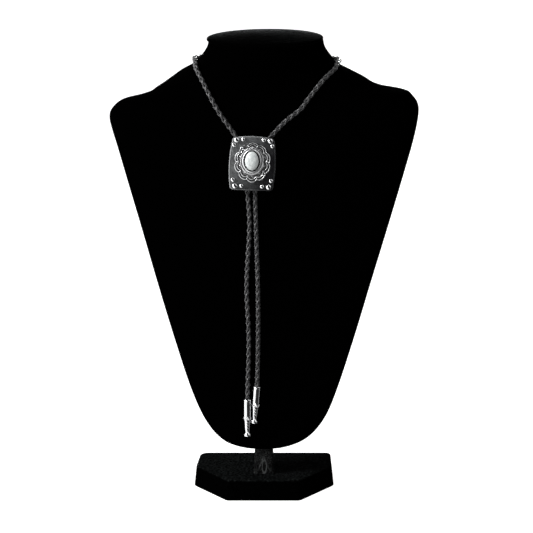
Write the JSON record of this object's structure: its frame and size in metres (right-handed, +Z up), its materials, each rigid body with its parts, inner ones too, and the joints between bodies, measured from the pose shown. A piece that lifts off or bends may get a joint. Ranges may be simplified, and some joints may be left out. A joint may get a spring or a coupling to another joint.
{
  "type": "bolo tie on neck bust",
  "caption": "Braided cord tie with metal tips and a leather, silver and stone slide, worn by a velvet neck and chest display form on a short post and base.",
  "frame": {"origin": "centre of the flat underside of the display base", "axes": "+Z up, +X to the viewer's right, -Y the way the chest and the slide face"},
  "size_m": [0.2934, 0.1437, 0.4311],
  "materials": {
    "velvet": "black velvet",
    "cord": "braided, satin black",
    "leather": "smooth dark leather, worn edges",
    "silver": "antiqued silver, dark in the recesses",
    "stone": "polished pale stone with faint clouding"
  },
  "bodies": {
    "root": {"bust_body": "velvet", "neck_cap": "velvet", "bust_stem": "velvet", "bust_base": "velvet", "braided_cord": "cord", "slide_plate": "leather", "concho": "silver", "stone": "stone", "cord_clasp": "silver", "tip_left": "silver", "tip_right": "silver", "stud_1": "silver", "stud_2": "silver", "stud_3": "silver", "stud_4": "silver", "stud_5": "silver", "stud_6": "silver", "stud_7": "silver", "stud_8": "silver", "stud_9": "silver", "stud_10": "silver", "stud_11": "silver", "stud_12": "silver"}
  },
  "joints": []
}
